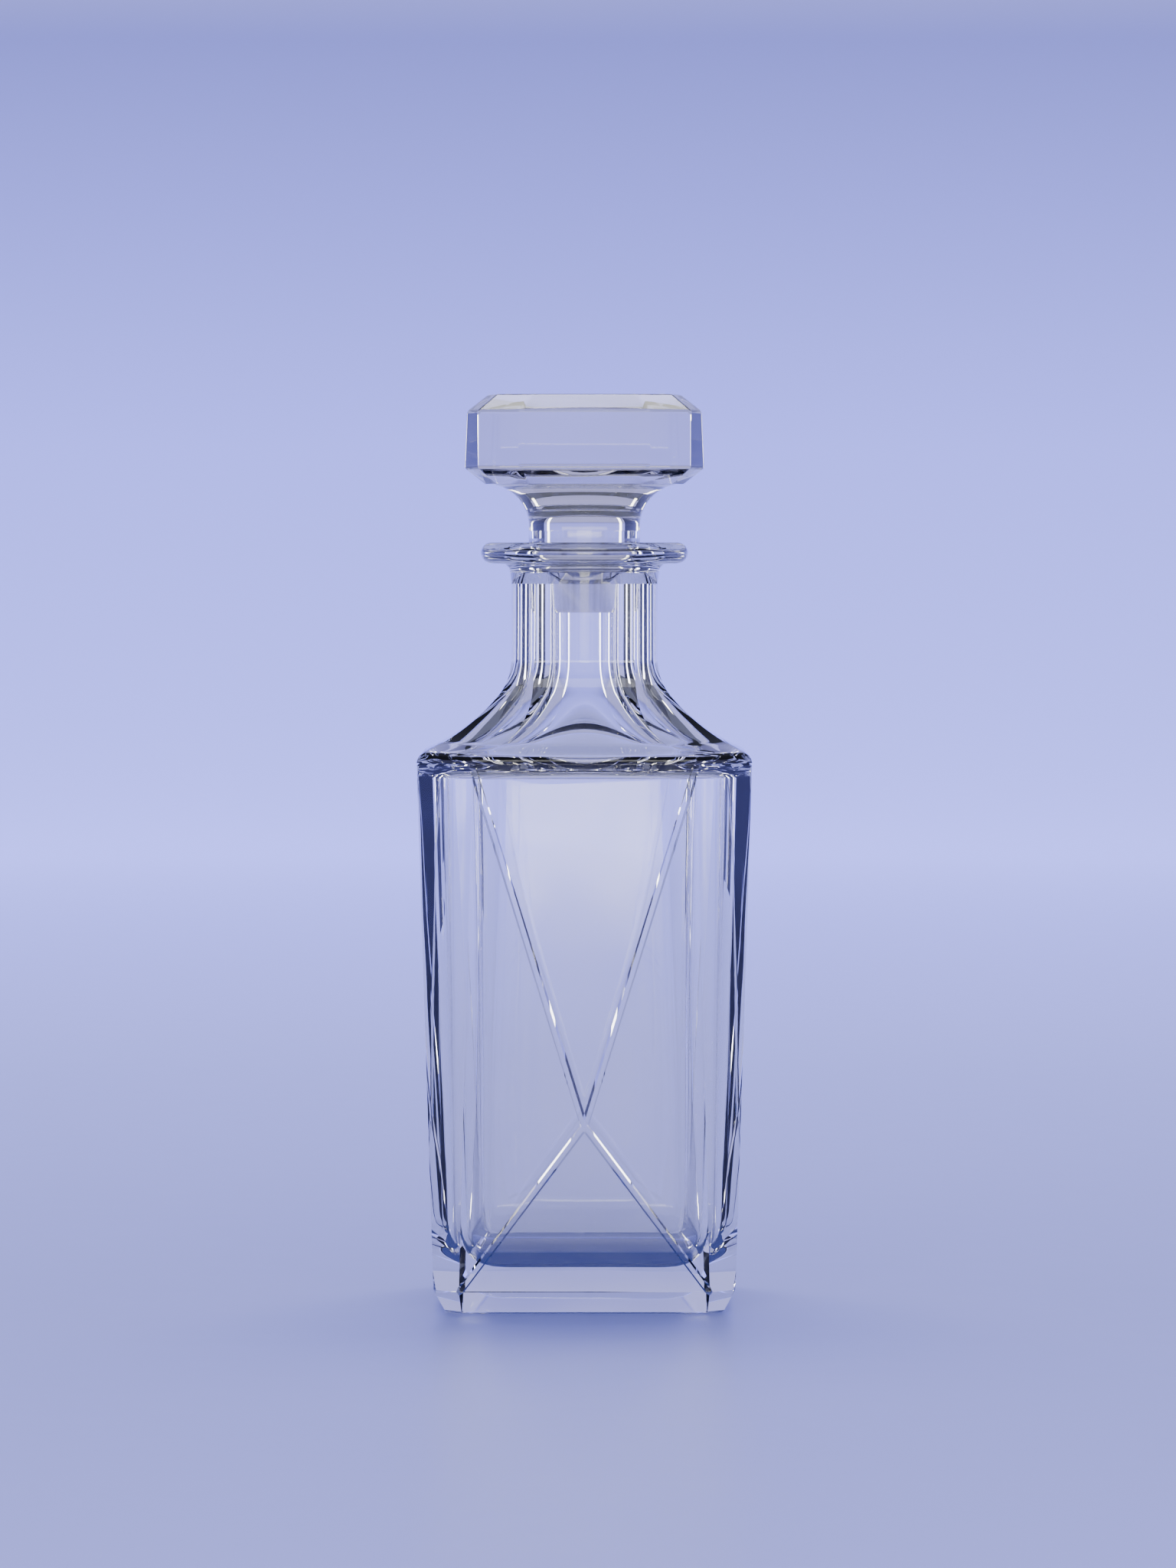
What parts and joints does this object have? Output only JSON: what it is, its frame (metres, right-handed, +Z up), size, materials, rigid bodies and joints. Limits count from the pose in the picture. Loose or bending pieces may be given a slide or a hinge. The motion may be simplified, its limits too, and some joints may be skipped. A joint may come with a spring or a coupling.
{
  "type": "decanter",
  "caption": "Square clear glass decanter with tapering sides crossed by shallow facets, a flared shoulder, round lip and a faceted glass stopper in a clear sealing sleeve.",
  "frame": {"origin": "centre of the underside, on the surface it stands on", "axes": "+Z up along the axis; -Y and the three other sides are alike"},
  "size_m": [0.0932, 0.0932, 0.2553],
  "materials": {
    "bottle_glass": "clear, polished",
    "stopper_glass": "clear, polished",
    "seal_plastic": "clear, smooth"
  },
  "bodies": {
    "decanter": {"bottle": "bottle_glass"},
    "sleeve": {"seal": "seal_plastic"},
    "plug": {"stopper": "stopper_glass"}
  },
  "joints": [
    {"name": "stopper_lift", "type": "slide", "parent": "decanter", "child": "sleeve", "axis": [0, 0, 1], "range_m": [0, 0.07]},
    {"name": "stopper_turn", "type": "hinge", "parent": "sleeve", "child": "plug", "pos_m": [0, 0, 0.205], "axis": [0, 0, 1], "continuous": true}
  ]
}
